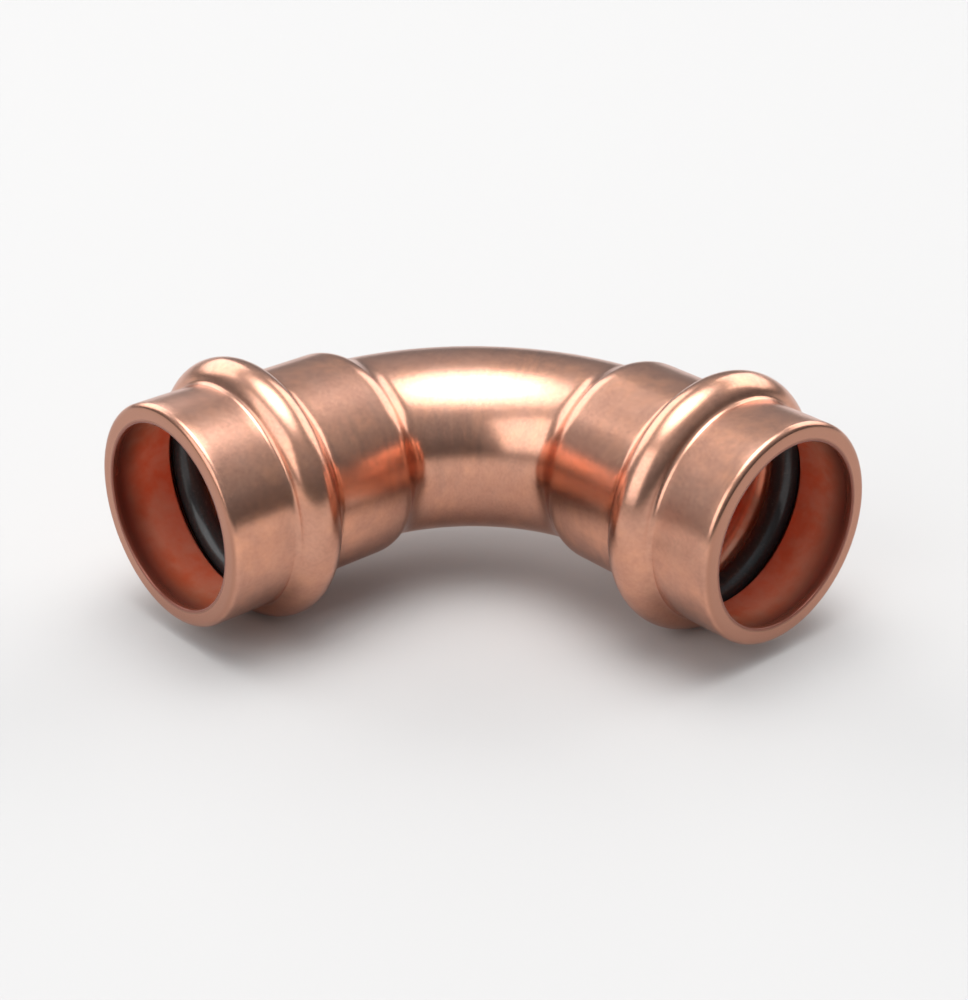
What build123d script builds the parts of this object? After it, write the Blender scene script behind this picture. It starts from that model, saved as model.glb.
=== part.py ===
from build123d import *
from math import acos, degrees
import os

# Right-angle press elbow of copper tube, with a seal ring in each socket. Millimetres.
# Both socket axes lie in the plane Z = 0. The right-hand socket opens along +X and the
# left-hand socket along -Y. The origin is on the right-hand socket's axis, in the plane
# where its parallel bore starts and the end of the inserted tube comes to rest.

# Tube that each socket takes, and how loosely it slides in (radial gap)
tube_od = 19.05
slip_gap = 0.075

# Elbow as a whole: where the two socket axes cross, how far each mouth is from there
centre_to_mouth = 42.7
insertion_depth = 21.31
bend_radius = 23.14
wall = 1.27

# Shoulder where the bend is widened to the socket, an S in section
shoulder_round = 3.1
heel_fillet = 3.0

# Seal ring in the bead, as it lies before a tube is pushed in
seal_section = 3.2
seal_bite = 0.105
seal_room = 0.05

# Bead that houses the ring
bead_depth = 9.87
bead_wall = 0.89
bead_front_fillet = 0.6
bead_rear_fillet = 1.6

# Groove inside the bead: how far its front corner lies before the ring's middle
groove_reach = 2.5
groove_edge_round = 0.3

# Collar in front of the bead, and its lip turned in to guide the tube
collar_bore_gap = 0.805
collar_wall = 1.2
lip_land = 0.4
lip_slope = 1.1
lip_outer_round = 0.66
lip_inner_round = 0.15
lip_back_round = 0.6
collar_round = 1.5

# Radii that follow from the tube
tube_radius = tube_od / 2
socket_bore_radius = tube_radius + slip_gap
socket_radius = socket_bore_radius + wall
bend_bore_radius = tube_radius - wall
collar_bore_radius = tube_radius + collar_bore_gap
collar_radius = collar_bore_radius + collar_wall

# Radii that follow from the seal ring
ring_radius = tube_radius - seal_bite + seal_section / 2
groove_round = seal_section / 2 + seal_room
bead_round = groove_round + bead_wall

# Places along a socket's axis, measured from where the two axes cross
bore_start = centre_to_mouth - insertion_depth
bead_place = centre_to_mouth - bead_depth
shoulder_start = bore_start - shoulder_round
inner_shoulder_start = bore_start - (shoulder_round - wall)


def step_profile(parts, corners):
    """Join flat shapes into one half-section and round each of its named corners.

    Each corner is a point near the corner and the radius of its round.
    """
    profile = parts[0]
    for shape in parts[1:]:
        profile += shape
    for place, radius in corners:
        vertex = profile.vertices().sort_by_distance(place)[0]
        profile = fillet(vertex, radius)
    return profile


def bar(start, end, radius):
    """Half-section of a plain cylinder on the X axis, from start to end."""
    return Pos((start + end) / 2, radius / 2) * Rectangle(end - start, radius)


def foot(radius, base, side):
    """Place where a circle round the ring meets a cylinder, before or behind the ring."""
    reach = (radius**2 - (base - ring_radius) ** 2) ** 0.5
    return (bead_place + side * reach, base, 0)


def ring_circle(radius):
    """Half of a circle round the seal ring's section that lies above the ring's middle."""
    return Pos(bead_place, ring_radius) * Circle(radius)


def groove_front():
    """Space before the ring, under a straight flank that runs tangent into the ring's circle."""
    middle = Vector(bead_place, ring_radius)
    corner = Vector(bead_place + groove_reach, collar_bore_radius)
    towards_corner = corner - middle
    lean = degrees(acos(groove_round / towards_corner.length))
    tangent = middle + towards_corner.normalized().rotate(Axis.Z, lean) * groove_round
    return make_face(Polyline(middle, (bead_place, collar_bore_radius), corner, tangent, close=True))


def turned(profile):
    """Solid of revolution on the X axis, with its seam on top, clear of the bend."""
    return Rot(90, 0, 0) * revolve(profile, Axis.X)


def socket_outside():
    """Solid outline of one socket: shoulder, straight socket, bead, collar and lip."""
    parts = [
        bar(shoulder_start, bead_place, socket_radius),
        bar(bead_place, centre_to_mouth, collar_radius),
        ring_circle(bead_round),
    ]
    corners = [
        (foot(bead_round, socket_radius, -1), bead_rear_fillet),
        (foot(bead_round, collar_radius, 1), bead_front_fillet),
        ((shoulder_start, socket_radius, 0), shoulder_round),
        ((centre_to_mouth, collar_radius, 0), lip_outer_round),
    ]
    return turned(step_profile(parts, corners))


def socket_inside():
    """Solid that fills the inside of one socket, with the groove for the ring."""
    land_end = centre_to_mouth - lip_land
    slope_end = land_end - lip_slope
    flare_radius = socket_bore_radius + lip_inner_round
    flare_start = centre_to_mouth - lip_inner_round
    flare = bar(flare_start, centre_to_mouth, flare_radius)
    flare -= Pos(flare_start, flare_radius) * Circle(lip_inner_round)
    way_in = Polyline(
        (bead_place, 0),
        (centre_to_mouth, 0),
        (centre_to_mouth, socket_bore_radius),
        (land_end, socket_bore_radius),
        (slope_end, collar_bore_radius),
        (bead_place, collar_bore_radius),
        close=True,
    )
    parts = [
        make_face(way_in),
        bar(inner_shoulder_start, bead_place, socket_bore_radius),
        ring_circle(groove_round),
        groove_front(),
    ]
    corners = [
        (foot(groove_round, socket_bore_radius, -1), bead_rear_fillet + bead_wall),
        ((bead_place + groove_reach, collar_bore_radius, 0), groove_edge_round),
        ((inner_shoulder_start, socket_bore_radius, 0), shoulder_round - wall),
        ((land_end, socket_bore_radius, 0), lip_back_round),
        ((slope_end, collar_bore_radius, 0), collar_round),
    ]
    return turned(step_profile(parts, corners) + flare)


def bent_rod(radius):
    """Round rod along the elbow's middle line, from bead to bead."""
    middle = Line((bead_place, 0), (bend_radius, 0))
    middle += CenterArc((bend_radius, -bend_radius), bend_radius, 90, 90)
    middle += Line((0, -bend_radius), (0, -bead_place))
    section = Plane((bead_place, 0, 0), z_dir=(-1, 0, 0)) * Circle(radius)
    return sweep(section, path=middle)


def both_ways(socket, rod, heel):
    """Put a socket on each end of the rod and round the corner where they meet."""
    right = socket
    left = Rot(0, 0, -90) * socket
    joined = rod + right + left
    edges = new_edges(rod, right, left, combined=joined)
    return fillet(edges, heel)


def elbow_body():
    """One piece of copper tube: two formed sockets and the bend between them."""
    outside = both_ways(socket_outside(), bent_rod(tube_radius), heel_fillet)
    inside = both_ways(socket_inside(), bent_rod(bend_bore_radius), heel_fillet + wall)
    return outside - inside


def seal_ring():
    """Rubber ring of the right-hand socket."""
    return Pos(bead_place, 0, 0) * Rot(0, 90, 0) * Torus(ring_radius, seal_section / 2)


def write(name, shape):
    """Move a shape from the crossing of the axes to the part's own origin and write it."""
    export_step(Pos(-bore_start, 0, 0) * shape, os.path.join("parts", name + ".step"))


os.makedirs("parts", exist_ok=True)
write("elbow_body", elbow_body())
write("seal_ring_right", seal_ring())
write("seal_ring_left", Rot(0, 0, -90) * seal_ring())
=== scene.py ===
import bpy
import numpy as np
from mathutils import Matrix


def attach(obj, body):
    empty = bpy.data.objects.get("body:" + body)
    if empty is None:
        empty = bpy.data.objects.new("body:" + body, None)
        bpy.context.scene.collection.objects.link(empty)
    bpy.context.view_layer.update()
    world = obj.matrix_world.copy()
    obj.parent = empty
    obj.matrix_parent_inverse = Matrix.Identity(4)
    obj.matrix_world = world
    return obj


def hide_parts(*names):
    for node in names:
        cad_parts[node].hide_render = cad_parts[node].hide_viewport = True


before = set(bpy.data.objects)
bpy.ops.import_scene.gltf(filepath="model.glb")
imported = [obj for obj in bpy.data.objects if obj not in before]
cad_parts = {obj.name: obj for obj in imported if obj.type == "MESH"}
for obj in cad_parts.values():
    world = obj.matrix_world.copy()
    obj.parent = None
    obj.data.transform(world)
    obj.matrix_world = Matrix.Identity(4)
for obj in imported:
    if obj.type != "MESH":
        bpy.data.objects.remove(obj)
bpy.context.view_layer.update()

# Right-angle press elbow of bare copper tube, with a black seal ring in each socket.
# Lengths are in millimetres until they go into a mesh, which is in metres. A socket is
# described by how far along its axis a place is from where the two axes cross, and how
# far from the axis it is.
MM = 0.001
CROSSING = np.array([-21.39, 0.0, 0.0])

# Bent tube
BEND_RADIUS = 23.14
TUBE_RADIUS = 9.525
WALL = 1.27

# Socket: stop, straight part, and the S-shaped shoulder into the bend
STOP_PLACE = 21.39
SOCKET_BORE = 9.6
SOCKET_RADIUS = SOCKET_BORE + WALL
SHOULDER_ROUND = 3.1
HEEL_ROUND = 3.0

# Bead and the groove for the ring inside it
BEAD_PLACE = 32.83
RING_RADIUS = 11.02
RING_SECTION = 1.6
GROOVE_ROUND = 1.65
BEAD_WALL = 0.89
BEAD_ROUND = GROOVE_ROUND + BEAD_WALL
BEAD_FRONT_ROUND = 0.6
BEAD_REAR_ROUND = 1.6
GROOVE_REACH = 2.5
GROOVE_EDGE_ROUND = 0.3

# Collar and its turned-in lip
MOUTH_PLACE = 42.7
COLLAR_BORE = 10.33
COLLAR_RADIUS = 11.53
LIP_LAND = 0.4
LIP_SLOPE = 1.1
LIP_OUTER_ROUND = 0.66
LIP_INNER_ROUND = 0.15
LIP_BACK_ROUND = 0.6
COLLAR_ROUND = 1.5

# Colours of the copper, its cut ends, the film in its bore, and the brown shade painted on that film near
# each mouth
DULL_COPPER = (0.57, 0.304, 0.219)
BRIGHT_COPPER = (0.795, 0.377, 0.235)
BROWN_BLOTCH = (0.54, 0.268, 0.188)
PALE_SPECK = (0.88, 0.455, 0.312)
DARK_SCUFF = (0.40, 0.22, 0.165)
CUT_END = (0.465, 0.225, 0.153)
FILM_RED = (1.0, 0.235, 0.10)
FILM_SALMON = (1.0, 0.47, 0.30)
# Brown of the painted shade in the bore near each mouth
FILM_PAINTED_SHADE = (0.24, 0.075, 0.048)

# How much of each pattern's colour shows on the copper
BLOTCH_SHARE = 0.85
SPECK_SHARE = 0.24
SCUFF_SHARE = 0.45

# Roughness of the copper where it is dull and where it is bright, the share of bare metal
# that shows through the bore's film, and how strong and how high the drawing lines are
COPPER_ROUGHNESS = (0.265, 0.225)
BORE_METAL = 0.46
LINE_STRENGTH = 0.3
LINE_HEIGHT = 0.008

# Colours of the rubber and of the dust on it, and its roughness where it is wet and dry
BLACK_RUBBER = (0.038, 0.037, 0.037)
GREY_DUST = (0.078, 0.076, 0.073)
RUBBER_ROUGHNESS = (0.18, 0.265)

# Colours of the floor and of the studio's walls
FLOOR_PALE = (0.515, 0.50, 0.489)
WALL_COOL = (0.92, 1.0, 1.07)

# How far before the mouth's face the painted shade in the bore starts and is full, darkening
# # the film brown near the rim, and where the cut end's colour starts and is full
MOUTH_SHADE_REACH = (4.6, 1.3)
END_EDGE = (0.33, 0.03)

# Fineness of the surfaces: points round the tube and each ring, steps along the section's
# rounds, small rounds, runs and the mouth's face, rows along the shoulder and the bend
AROUND = 176
RING_AROUND = 160
RING_SECTION_POINTS = 48
ROUND_STEP = 0.2
SMALL_ROUND_STEP = 0.13
RUN_STEP = 0.9
FACE_STEP = 0.3
SHOULDER_ROWS = 13
BEND_ROWS = 44

# Fewest points of an arc, distance within which two points are one, how far from the
# socket's stop the shoulder may reach, and how often its foot and the bend are worked out
FEWEST_POINTS = 6
SAME_PLACE = 1e-6
LONGEST_SHOULDER = 9.0
HALVINGS = 40
NEWTON_STEPS = 12

# Middle line of the bend, from half way round it to where a straight arm starts
QUARTER = BEND_RADIUS * np.pi / 4


def arc(middle, start, stop, step=ROUND_STEP):
    """Points of the short arc round middle from start to stop, evenly spaced by angle."""
    middle, start, stop = (np.asarray(p, float) for p in (middle, start, stop))
    first = np.arctan2(*(start - middle)[::-1])
    turn = np.arctan2(*(stop - middle)[::-1]) - first
    turn = (turn + np.pi) % (2 * np.pi) - np.pi
    radius = np.hypot(*(start - middle))
    count = max(FEWEST_POINTS, int(abs(turn) * radius / step) + 2)
    angle = first + turn * np.linspace(0, 1, count)
    return middle + radius * np.stack([np.cos(angle), np.sin(angle)], axis=1)


def run(start, stop, step=RUN_STEP):
    """Points of a straight run from start to stop, evenly spaced, without its two ends."""
    start, stop = np.asarray(start, float), np.asarray(stop, float)
    count = int(np.hypot(*(stop - start)) / step) + 2
    share = np.linspace(0, 1, count)[1:-1, None]
    return start + (stop - start) * share


def corner_arc(before, corner, after, radius):
    """Arc of the given radius that rounds a corner between two straight runs."""
    before, corner, after = (np.asarray(p, float) for p in (before, corner, after))
    back = (before - corner) / np.hypot(*(before - corner))
    ahead = (after - corner) / np.hypot(*(after - corner))
    half = np.arccos(back @ ahead) / 2
    middle = corner + (back + ahead) / np.hypot(*(back + ahead)) * radius / np.sin(half)
    reach = radius / np.tan(half)
    return arc(middle, corner + back * reach, corner + ahead * reach)


def ring_fillet(circle, base, radius, side):
    """Middle of a fillet between a circle round the ring and a cylinder, and where they meet.

    The fillet's middle is one fillet radius above the cylinder, and as far from the ring's
    middle as the two radii together.
    """
    ring = np.array([BEAD_PLACE, RING_RADIUS])
    rise = base + radius - RING_RADIUS
    middle = ring + np.array([side * np.sqrt((circle + radius) ** 2 - rise**2), rise])
    on_circle = ring + (middle - ring) * circle / (circle + radius)
    return middle, on_circle, np.array([middle[0], base])


def joined(*stretches):
    """One line of points from several stretches, with what two of them share kept once."""
    line = np.concatenate(stretches)
    gap = np.hypot(*np.diff(line, axis=0).T)
    return line[np.concatenate([[True], gap > SAME_PLACE])]


def outside_of_socket():
    """Outer half-section from the mouth's face to the start of the shoulder.

    Face, round, collar, fillet, the bead's arc round the ring, fillet, straight socket.
    """
    front, front_top, front_foot = ring_fillet(BEAD_ROUND, COLLAR_RADIUS, BEAD_FRONT_ROUND, 1)
    rear, rear_top, rear_foot = ring_fillet(BEAD_ROUND, SOCKET_RADIUS, BEAD_REAR_ROUND, -1)
    face_edge = (MOUTH_PLACE, COLLAR_RADIUS - LIP_OUTER_ROUND)
    collar_edge = (MOUTH_PLACE - LIP_OUTER_ROUND, COLLAR_RADIUS)
    return joined(
        run((MOUTH_PLACE, SOCKET_BORE + LIP_INNER_ROUND), face_edge, FACE_STEP),
        arc((collar_edge[0], face_edge[1]), face_edge, collar_edge, SMALL_ROUND_STEP),
        run(collar_edge, front_foot),
        arc(front, front_foot, front_top, SMALL_ROUND_STEP),
        arc((BEAD_PLACE, RING_RADIUS), front_top, rear_top),
        arc(rear, rear_top, rear_foot),
        run(rear_foot, (STOP_PLACE, SOCKET_RADIUS)),
    )


def inside_of_socket():
    """Inner half-section from the mouth's face to the start of the inner shoulder.

    Rim, lip, slope, collar, straight flank, the groove's arc round the ring, fillet, bore.
    """
    land_end = (MOUTH_PLACE - LIP_LAND, SOCKET_BORE)
    slope_end = (land_end[0] - LIP_SLOPE, COLLAR_BORE)
    edge = np.array([BEAD_PLACE + GROOVE_REACH, COLLAR_BORE])
    ring = np.array([BEAD_PLACE, RING_RADIUS])
    toward = np.arctan2(*(edge - ring)[::-1])
    lean = np.arccos(GROOVE_ROUND / np.hypot(*(edge - ring)))
    tangent = ring + GROOVE_ROUND * np.array([np.cos(toward + lean), np.sin(toward + lean)])
    inner_round = BEAD_REAR_ROUND + BEAD_WALL
    rear, rear_top, rear_foot = ring_fillet(GROOVE_ROUND, SOCKET_BORE, inner_round, -1)
    rim = (MOUTH_PLACE, SOCKET_BORE + LIP_INNER_ROUND)
    lip = (MOUTH_PLACE - LIP_INNER_ROUND, SOCKET_BORE)
    lip_back = corner_arc(lip, land_end, slope_end, LIP_BACK_ROUND)
    slope_foot = corner_arc(land_end, slope_end, edge, COLLAR_ROUND)
    groove_edge = corner_arc(slope_end, edge, tangent, GROOVE_EDGE_ROUND)
    return joined(
        arc((lip[0], rim[1]), rim, lip),
        lip_back,
        run(lip_back[-1], slope_foot[0]),
        slope_foot,
        run(slope_foot[-1], groove_edge[0]),
        groove_edge,
        run(groove_edge[-1], tangent),
        arc(ring, tangent, rear_top),
        arc(rear, rear_top, rear_foot),
        run(rear_foot, (STOP_PLACE, SOCKET_BORE)),
    )


def bend_reach(along, angle, tube):
    """Distance from the socket's axis to the bent tube's surface, and its slope along the axis.

    A point of the surface is one tube radius from the bend's middle line; the distance
    that makes it so is found by Newton's rule. Angle 0 looks away from the bend's middle.
    """
    short = np.maximum(BEND_RADIUS - along, 0)
    reach = np.full(np.broadcast(along, angle).shape, float(tube))
    for _ in range(NEWTON_STEPS):
        across = BEND_RADIUS + reach * np.cos(angle)
        turn = np.hypot(short, across)
        error = (turn - BEND_RADIUS) ** 2 + (reach * np.sin(angle)) ** 2 - tube**2
        grow = 2 * (turn - BEND_RADIUS) * across * np.cos(angle) / turn + 2 * reach * np.sin(angle) ** 2
        reach = reach - error / grow
    return reach, 2 * (turn - BEND_RADIUS) * short / turn / grow


def shoulder(angle, tube, high_round, heel_round):
    """S of two arcs between a socket and the bend, for each angle round the socket.

    The upper arc starts level at the socket's stop. The lower arc touches the bend's
    outline and the upper arc, so its middle is one heel radius square to the outline and
    both radii from the upper arc's middle; its foot is found by halving.
    """
    upper = np.array([STOP_PLACE, SOCKET_RADIUS - SHOULDER_ROUND])
    near = np.full(angle.shape, STOP_PLACE)
    far = near - LONGEST_SHOULDER
    for _ in range(HALVINGS):
        foot = (near + far) / 2
        reach, slope = bend_reach(foot, angle, tube)
        length = np.hypot(1, slope)
        middle = np.stack([foot - slope * heel_round / length, reach + heel_round / length])
        wide = np.hypot(middle[0] - upper[0], middle[1] - upper[1]) > high_round + heel_round
        far, near = np.where(wide, foot, far), np.where(wide, near, foot)
    meet = np.arctan2(middle[1] - upper[1], middle[0] - upper[0])
    share = np.linspace(0, 1, SHOULDER_ROWS)[:, None]
    high = np.pi / 2 + (meet - np.pi / 2) * share
    low_start = meet - np.pi
    low_stop = np.arctan2(reach - middle[1], foot - middle[0])
    low = low_start + (low_stop - low_start) * share[1:]
    along = np.concatenate([upper[0] + high_round * np.cos(high), middle[0] + heel_round * np.cos(low)])
    reach = np.concatenate([upper[1] + high_round * np.sin(high), middle[1] + heel_round * np.sin(low)])
    return along, reach


def tube_skin(section, tube, high_round, heel_round):
    """Skin of the whole elbow from the right-hand mouth to the left-hand mouth.

    The half-section is turned round the right-hand axis, the shoulder follows, then the
    bend as a turn about its middle, and the left-hand half is the right-hand one
    reflected in the plane half way between the two axes.
    """
    angle = np.linspace(0, 2 * np.pi, AROUND, endpoint=False)
    along, reach = shoulder(angle, tube, high_round, heel_round)
    level = np.ones(AROUND)
    along = np.concatenate([section[:, :1] * level, along])
    reach = np.concatenate([section[:, 1:] * level, reach])
    arm = np.stack([along, reach * np.cos(angle), reach * np.sin(angle)], axis=2)
    foot = arm[-1]
    start = np.arctan2(BEND_RADIUS - foot[:, 0], BEND_RADIUS + foot[:, 1])
    turn = np.hypot(BEND_RADIUS - foot[:, 0], BEND_RADIUS + foot[:, 1])
    share = np.linspace(0, 1, BEND_ROWS + 2)[1:-1, None]
    swing = start + (np.pi / 2 - 2 * start) * share
    bend = np.stack([
        BEND_RADIUS - turn * np.sin(swing),
        turn * np.cos(swing) - BEND_RADIUS,
        foot[:, 2] * np.ones_like(swing),
    ], axis=2)
    far_arm = arm[::-1] * np.array([-1, -1, 1])
    return np.concatenate([arm, bend, far_arm[:, :, [1, 0, 2]]])


def straightened(points):
    """Where each point would lie if the elbow were a straight tube.

    Two coordinates across the tube and one along it, the last measured on the middle line
    from half way round the bend, so a pattern made of them follows the drawn tube.
    """
    back, side = BEND_RADIUS - points[..., 0], BEND_RADIUS + points[..., 1]
    turn = np.where(back <= 0, side, np.where(side <= 0, back, np.hypot(back, side)))
    bent = QUARTER - BEND_RADIUS * np.arctan2(back, side)
    along = np.where(back <= 0, QUARTER - back, np.where(side <= 0, side - QUARTER, bent))
    return np.stack([turn - BEND_RADIUS, points[..., 2], along], axis=-1)


def closed_grid(name, points, material, **attributes):
    """Mesh of four-sided faces over a grid of points that closes on itself both ways."""
    rows, columns = points.shape[:2]
    row, column = np.meshgrid(np.arange(rows), np.arange(columns), indexing="ij")
    next_row, next_column = (row + 1) % rows, (column + 1) % columns
    faces = np.stack([
        row * columns + column,
        next_row * columns + column,
        next_row * columns + next_column,
        row * columns + next_column,
    ], axis=-1).reshape(-1, 4)
    mesh = bpy.data.meshes.new(name)
    mesh.from_pydata(points.reshape(-1, 3) * MM, [], faces)
    mesh.polygons.foreach_set("use_smooth", np.ones(len(mesh.polygons), bool))
    for key, values in attributes.items():
        if values.ndim == 2:
            layer = mesh.attributes.new(key, "FLOAT", "POINT")
            layer.data.foreach_set("value", values.astype(np.float32).ravel())
        else:
            layer = mesh.attributes.new(key, "FLOAT_VECTOR", "POINT")
            layer.data.foreach_set("vector", (values * MM).astype(np.float32).ravel())
    mesh.materials.append(material)
    mesh.update()
    piece = bpy.data.objects.new(name, mesh)
    bpy.context.scene.collection.objects.link(piece)
    return piece


def copper_tube(material):
    """Elbow as one closed skin: outside, left-hand face, inside, right-hand face."""
    outside = tube_skin(outside_of_socket(), TUBE_RADIUS, SHOULDER_ROUND, HEEL_ROUND)
    inside = tube_skin(
        inside_of_socket(), TUBE_RADIUS - WALL, SHOULDER_ROUND - WALL, HEEL_ROUND + WALL
    )
    points = np.concatenate([outside, inside[::-1]])
    bore = np.concatenate([np.zeros(outside.shape[:2]), np.ones(inside.shape[:2])])
    return closed_grid(
        "copper_elbow", points + CROSSING, material, straight=straightened(points), bore=bore
    )


def rubber_ring(name, side, material):
    """Seal ring as a turned circle, its own small circle carried round the socket's axis."""
    section = np.linspace(0, 2 * np.pi, RING_SECTION_POINTS, endpoint=False)[:, None]
    around = np.linspace(0, 2 * np.pi, RING_AROUND, endpoint=False)
    reach = RING_RADIUS + RING_SECTION * np.sin(section)
    points = np.stack([
        BEAD_PLACE + RING_SECTION * np.cos(section) * np.ones_like(around),
        reach * np.cos(around),
        reach * np.sin(around),
    ], axis=2)[::-1]
    if side == "left":
        points = (points * np.array([-1, -1, 1]))[:, :, [1, 0, 2]][::-1]
    return closed_grid(name, points + CROSSING, material)


# Materials


def link(tree, source, target):
    """Lead one node's output to another's input."""
    tree.links.new(source, target)


def node(tree, kind, place, **settings):
    """New shader node at a place in the tree, with some of its settings."""
    made = tree.nodes.new(kind)
    made.location = place
    for key, value in settings.items():
        setattr(made, key, value)
    return made


def cloudiness_group():
    """Soft patches: noise at one size, turned into a mask between two of its levels."""
    group = bpy.data.node_groups.new("cloudiness", "ShaderNodeTree")
    sockets = group.interface
    sockets.new_socket(name="Vector", in_out="INPUT", socket_type="NodeSocketVector")
    for name in ("Patches Per Metre", "Fineness", "Fine Share", "From", "To"):
        sockets.new_socket(name=name, in_out="INPUT", socket_type="NodeSocketFloat")
    sockets.new_socket(name="Mask", in_out="OUTPUT", socket_type="NodeSocketFloat")
    entry = node(group, "NodeGroupInput", (-600, 0))
    noise = node(group, "ShaderNodeTexNoise", (-350, 0))
    levels = node(group, "ShaderNodeMapRange", (-100, 0), interpolation_type="SMOOTHSTEP")
    leave = node(group, "NodeGroupOutput", (150, 0))
    link(group, entry.outputs["Vector"], noise.inputs["Vector"])
    link(group, entry.outputs["Patches Per Metre"], noise.inputs["Scale"])
    link(group, entry.outputs["Fineness"], noise.inputs["Detail"])
    link(group, entry.outputs["Fine Share"], noise.inputs["Roughness"])
    link(group, noise.outputs["Fac"], levels.inputs["Value"])
    link(group, entry.outputs["From"], levels.inputs["From Min"])
    link(group, entry.outputs["To"], levels.inputs["From Max"])
    link(group, levels.outputs["Result"], leave.inputs["Mask"])
    return group


CLOUDINESS = cloudiness_group()


def clouds(tree, place, vector, per_metre, fine, low, high, fineness=4.0):
    """One use of the cloudiness group with its own size and levels; gives its mask."""
    made = tree.nodes.new("ShaderNodeGroup")
    made.node_tree = CLOUDINESS
    made.location = place
    made.inputs["Patches Per Metre"].default_value = per_metre
    made.inputs["Fineness"].default_value = fineness
    made.inputs["Fine Share"].default_value = fine
    made.inputs["From"].default_value = low
    made.inputs["To"].default_value = high
    link(tree, vector, made.inputs["Vector"])
    return made.outputs["Mask"]


def blend_colours(tree, place, mask, first, second):
    """Mix of two colours by a mask; each is a plain colour or another node's output."""
    made = node(tree, "ShaderNodeMix", place, data_type="RGBA")
    for key, value in (("A", first), ("B", second)):
        target = [s for s in made.inputs if s.name == key and s.type == "RGBA"][0]
        if isinstance(value, tuple):
            target.default_value = (*value, 1)
        else:
            link(tree, value, target)
    link(tree, mask, made.inputs["Factor"])
    return [s for s in made.outputs if s.type == "RGBA"][0]


def scaled(tree, place, value, share):
    """A mask times a plain share."""
    made = node(tree, "ShaderNodeMath", place, operation="MULTIPLY")
    made.inputs[1].default_value = share
    link(tree, value, made.inputs[0])
    return made.outputs["Value"]


def both(tree, place, operation, first, second):
    """Two masks added or multiplied."""
    made = node(tree, "ShaderNodeMath", place, operation=operation)
    link(tree, first, made.inputs[0])
    link(tree, second, made.inputs[1])
    return made.outputs["Value"]


def new_material(name):
    """New material, with its node tree and its shader."""
    material = bpy.data.materials.new(name)
    material.use_nodes = True
    return material, material.node_tree, material.node_tree.nodes["Principled BSDF"]


def stretched(tree, place, vector, scale):
    """A pattern's coordinates, drawn out along the directions whose scale is small."""
    made = node(tree, "ShaderNodeMapping", place)
    made.inputs["Scale"].default_value = scale
    link(tree, vector, made.inputs["Vector"])
    return made.outputs["Vector"]


def ranged(tree, place, value, low, high, start=0.0, stop=1.0, way="LINEAR"):
    """A number that goes from low to high while a value goes from start to stop."""
    made = node(tree, "ShaderNodeMapRange", place, interpolation_type=way)
    for key, end in (("From Min", start), ("From Max", stop), ("To Min", low), ("To Max", high)):
        made.inputs[key].default_value = end
    link(tree, value, made.inputs["Value"])
    return made.outputs["Result"]


def toward_mouth(tree, place, stretch):
    """Mask that grows from 0 to 1 between two distances before a mouth's face.

    The distance is the same at both mouths, along the straightened tube.
    """
    mouth = QUARTER + MOUTH_PLACE - BEND_RADIUS
    start, stop = ((mouth - before) * MM for before in stretch)
    along = node(tree, "ShaderNodeSeparateXYZ", (-1500, -700))
    either_end = node(tree, "ShaderNodeMath", (-1300, -700), operation="ABSOLUTE")
    link(tree, place, along.inputs["Vector"])
    link(tree, along.outputs["Z"], either_end.inputs[0])
    away = either_end.outputs["Value"]
    return ranged(tree, (-1100, -700), away, 0.0, 1.0, start, stop, "SMOOTHSTEP")


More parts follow.
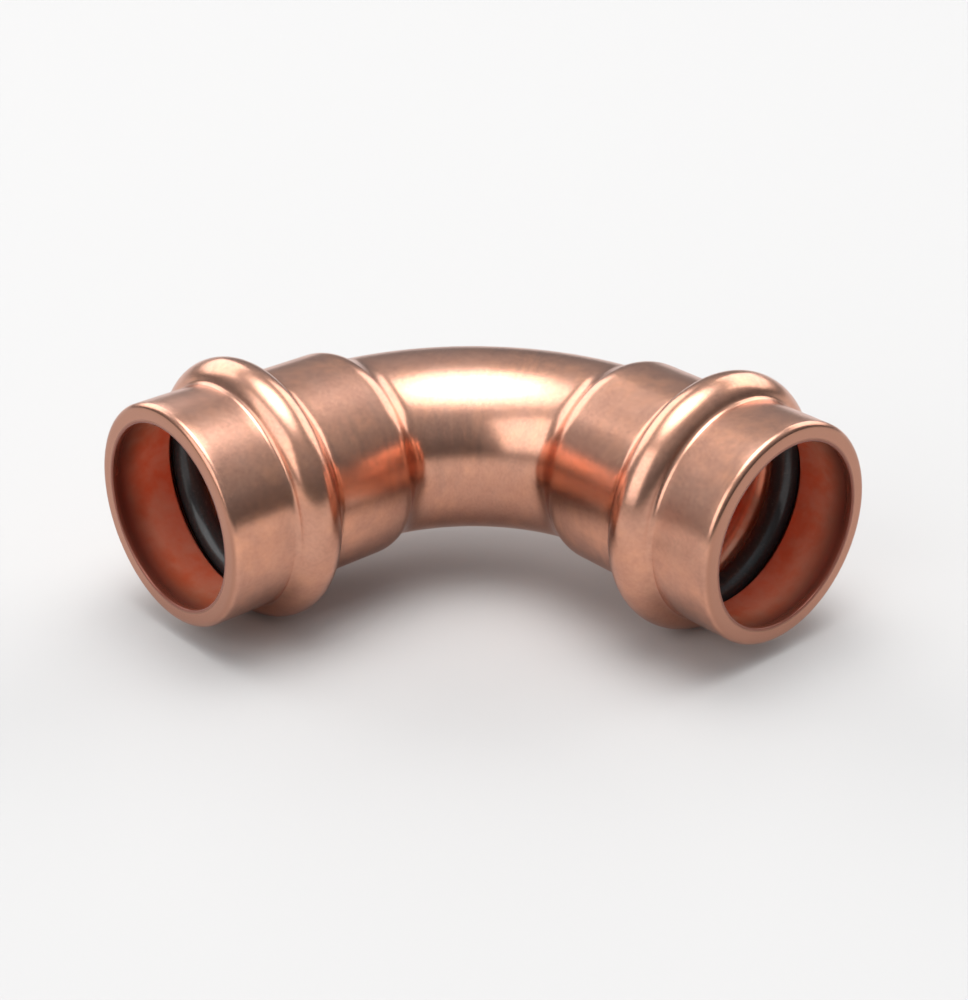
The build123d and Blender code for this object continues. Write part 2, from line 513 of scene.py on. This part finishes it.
def satin_copper():
    """Bare drawn copper, with patterns that follow the tube as if it were straight.

    Wide patches, blotches, specks and short scuffs round the tube tint it one over the
    other. The cut ends are plainer, and the bore has a red film with brown shade painted
    on it toward the mouth.
    """
    material, tree, shader = new_material("satin_copper")
    place = node(tree, "ShaderNodeAttribute", (-1900, 0), attribute_name="straight").outputs["Vector"]
    inner = node(tree, "ShaderNodeAttribute", (-700, -250), attribute_name="bore").outputs["Fac"]
    drawn = stretched(tree, (-1500, -300), place, (1, 1, 0.05))
    across = stretched(tree, (-1500, -500), place, (0.15, 0.15, 1))

    patches = clouds(tree, (-1250, 400), place, per_metre=150, fine=0.6, low=0.3, high=0.7)
    blotches = clouds(tree, (-1250, 200), place, per_metre=520, fine=0.6, low=0.25, high=0.75)
    specks = clouds(tree, (-1250, 0), place, per_metre=2600, fine=0.6, low=0.2, high=0.8, fineness=1.0)
    lines = clouds(tree, (-1250, -300), drawn, per_metre=1100, fine=0.5, low=0.1, high=0.9, fineness=2.0)
    rings = clouds(tree, (-1250, 600), across, per_metre=900, fine=0.5, low=0.45, high=0.8, fineness=2.0)
    handled = clouds(tree, (-1250, 800), place, per_metre=85, fine=0.5, low=0.45, high=0.68)
    scuffs = both(tree, (-1050, 700), "MULTIPLY", rings, handled)

    tint = blend_colours(tree, (-950, 400), patches, DULL_COPPER, BRIGHT_COPPER)
    stains = scaled(tree, (-950, 200), blotches, BLOTCH_SHARE)
    tint = blend_colours(tree, (-750, 400), stains, tint, BROWN_BLOTCH)
    grains = scaled(tree, (-750, 200), specks, SPECK_SHARE)
    tint = blend_colours(tree, (-550, 400), grains, tint, PALE_SPECK)
    scrapes = scaled(tree, (-550, 600), scuffs, SCUFF_SHARE)
    tint = blend_colours(tree, (-350, 400), scrapes, tint, DARK_SCUFF)
    tint = blend_colours(tree, (-350, 200), toward_mouth(tree, place, END_EDGE), tint, CUT_END)
    film = blend_colours(tree, (-750, -50), patches, FILM_RED, FILM_SALMON)
    # Painted shade: the bore's film turns brown toward the mouth, where the rim shades it
    film = blend_colours(tree, (-550, -50), toward_mouth(tree, place, MOUTH_SHADE_REACH), film, FILM_PAINTED_SHADE)
    tint = blend_colours(tree, (-200, 200), inner, tint, film)
    link(tree, tint, shader.inputs["Base Color"])
    link(tree, ranged(tree, (-500, -250), inner, 1.0, BORE_METAL), shader.inputs["Metallic"])
    link(tree, ranged(tree, (-700, -100), patches, *COPPER_ROUGHNESS), shader.inputs["Roughness"])

    bump = node(tree, "ShaderNodeBump", (-300, -450))
    bump.inputs["Strength"].default_value = LINE_STRENGTH
    bump.inputs["Distance"].default_value = LINE_HEIGHT * MM
    link(tree, both(tree, (-700, -450), "ADD", lines, blotches), bump.inputs["Height"])
    link(tree, bump.outputs["Normal"], shader.inputs["Normal"])
    return material


def seal_rubber():
    """Moulded black rubber with a patchy film of lubricant and a little dust."""
    material, tree, shader = new_material("seal_rubber")
    place = node(tree, "ShaderNodeTexCoord", (-1300, 0)).outputs["Object"]
    dust = clouds(tree, (-900, 100), place, per_metre=2500, fine=0.7, low=0.5, high=0.9)
    dry = clouds(tree, (-900, -200), place, per_metre=400, fine=0.5, low=0.3, high=0.7)
    tint = blend_colours(tree, (-500, 100), dust, BLACK_RUBBER, GREY_DUST)
    link(tree, tint, shader.inputs["Base Color"])
    link(tree, ranged(tree, (-500, -200), dry, *RUBBER_ROUGHNESS), shader.inputs["Roughness"])
    return material


def pale_floor():
    """Plain pale floor just under the beads."""
    material, _, shader = new_material("pale_floor")
    shader.inputs["Base Color"].default_value = (*FLOOR_PALE, 1)
    shader.inputs["Roughness"].default_value = 0.9
    shader.inputs["Specular IOR Level"].default_value = 0.0
    return material


# Object

copper = satin_copper()
rubber = seal_rubber()

elbow = copper_tube(copper)
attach(elbow, "root")
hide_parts("elbow_body")

for side in ("right", "left"):
    ring = rubber_ring("rubber_ring_" + side, side, rubber)
    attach(ring, "root")
    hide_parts("seal_ring_" + side)

# Floor, lamps and world


def floor_under(height, half):
    """Square floor, four corners at one height, each half a side from the middle, in metres."""
    mesh = bpy.data.meshes.new("floor")
    corners = [(-half, -half, height), (half, -half, height), (half, half, height), (-half, half, height)]
    mesh.from_pydata(corners, [], [(0, 1, 2, 3)])
    mesh.materials.append(pale_floor())
    floor = bpy.data.objects.new("floor", mesh)
    bpy.context.scene.collection.objects.link(floor)


floor_under(height=-(RING_RADIUS + BEAD_ROUND) * MM, half=8.0)

# Direction of the camera from the elbow, in degrees from the right-hand socket's axis
CAMERA_BEARING = -41.8


def softbox(name, bearing, height, width, tall, level, away=1.0, outline="RECTANGLE"):
    """Soft lamp, a rectangle or an ellipse, that faces the elbow.

    Bearing is the angle round the elbow from the camera's side, and height the angle above
    the floor. Width and tall are the angles that it fills, and level is its brightness.
    """
    across = np.radians(bearing + CAMERA_BEARING)
    up = np.radians(height)
    toward = np.array([np.cos(across) * np.cos(up), np.sin(across) * np.cos(up), np.sin(up)])
    right = np.array([-np.sin(across), np.cos(across), 0.0])
    data = bpy.data.lights.new(name, "AREA")
    data.shape = outline
    data.size = 2 * away * np.tan(np.radians(width / 2))
    data.size_y = 2 * away * np.tan(np.radians(tall / 2))
    share = np.pi / 4 if outline == "ELLIPSE" else 1.0
    data.energy = level * np.pi * share * data.size * data.size_y
    lamp = bpy.data.objects.new(name, data)
    turned = np.eye(4)
    turned[:3, 0], turned[:3, 1], turned[:3, 2] = right, np.cross(toward, right), toward
    turned[:3, 3] = toward * away + CROSSING * MM
    lamp.matrix_world = Matrix(turned.tolist())
    lamp.visible_camera = False
    bpy.context.scene.collection.objects.link(lamp)


softbox("lamp_overhead", bearing=0, height=90, width=54, tall=54, level=2.4, outline="ELLIPSE")
softbox(
    "lamp_overhead_heart",
    bearing=0, height=90, width=32, tall=32, level=3.9, away=0.9, outline="ELLIPSE",
)
softbox("lamp_rear_left", bearing=-138, height=29, width=50, tall=34, level=2.3)
softbox("lamp_rear_right", bearing=134, height=29, width=50, tall=34, level=2.3)
softbox("lamp_front_left", bearing=-47, height=29, width=50, tall=40, level=1.85)


def studio_walls():
    """World: dim at the horizon, lighter higher up, and lighter away from the dim front right."""
    world = bpy.data.worlds.new("studio_walls")
    world.use_nodes = True
    tree = world.node_tree
    back = tree.nodes["Background"]
    back.inputs["Color"].default_value = (*WALL_COOL, 1)
    place = node(tree, "ShaderNodeTexCoord", (-900, 0)).outputs["Generated"]
    parts = node(tree, "ShaderNodeSeparateXYZ", (-700, 0))
    link(tree, place, parts.inputs["Vector"])
    up, side = parts.outputs["Z"], parts.outputs["X"]
    climb = ranged(tree, (-500, 150), up, low=0.08, high=0.45, start=0.0, stop=0.8, way="SMOOTHSTEP")
    glow = ranged(tree, (-500, -100), up, low=0.0, high=0.38, start=0.72, stop=0.9, way="SMOOTHSTEP")
    rear = ranged(tree, (-500, -350), side, low=0.0, high=0.16, start=1.0, stop=-1.0)
    level = both(tree, (-150, 0), "ADD", both(tree, (-300, 0), "ADD", climb, glow), rear)
    link(tree, level, back.inputs["Strength"])
    bpy.context.scene.world = world


studio_walls()


# Camera: its turns in degrees, the point aimed at and the distance from it in radii of the
# socket's bore, and its sensor and lens in millimetres
BEARING, HEIGHT, ROLL = 3.188, 26.961, 0.230
AIM = (0.0270, -2.0, -0.2761)
DISTANCE = 22.339
SENSOR_WIDTH = 36
LENS = 75.49


def photo_camera():
    """Camera at the photograph's place: about 27 degrees above the elbow's plane.

    Bearing is measured from the line half way between the two arms, and the whole is then
    turned by 45 degrees, on to the axes of the sockets.
    """
    bearing, height, roll = np.radians((BEARING, HEIGHT, ROLL))
    level = np.cos(height)
    back = np.array([np.sin(bearing) * level, -np.cos(bearing) * level, np.sin(height)])
    right = np.cross(-back, [0, 0, 1])
    right /= np.linalg.norm(right)
    up = np.cross(back, right)
    spot = (np.array(AIM) + DISTANCE * back) * SOCKET_BORE * MM
    turn = np.radians(45)
    face = np.array([[np.cos(turn), -np.sin(turn), 0], [np.sin(turn), np.cos(turn), 0], [0, 0, 1]])
    place = np.eye(4)
    place[:3, 0] = face @ (np.cos(roll) * right + np.sin(roll) * up)
    place[:3, 1] = face @ (np.cos(roll) * up - np.sin(roll) * right)
    place[:3, 2] = face @ back
    place[:3, 3] = face @ spot + CROSSING * MM
    data = bpy.data.cameras.new("photo_camera")
    data.sensor_width = SENSOR_WIDTH
    data.lens = LENS
    camera = bpy.data.objects.new("photo_camera", data)
    camera.matrix_world = Matrix(place.tolist())
    bpy.context.scene.collection.objects.link(camera)
    bpy.context.scene.camera = camera


photo_camera()

bpy.context.scene.view_settings.view_transform = "Standard"
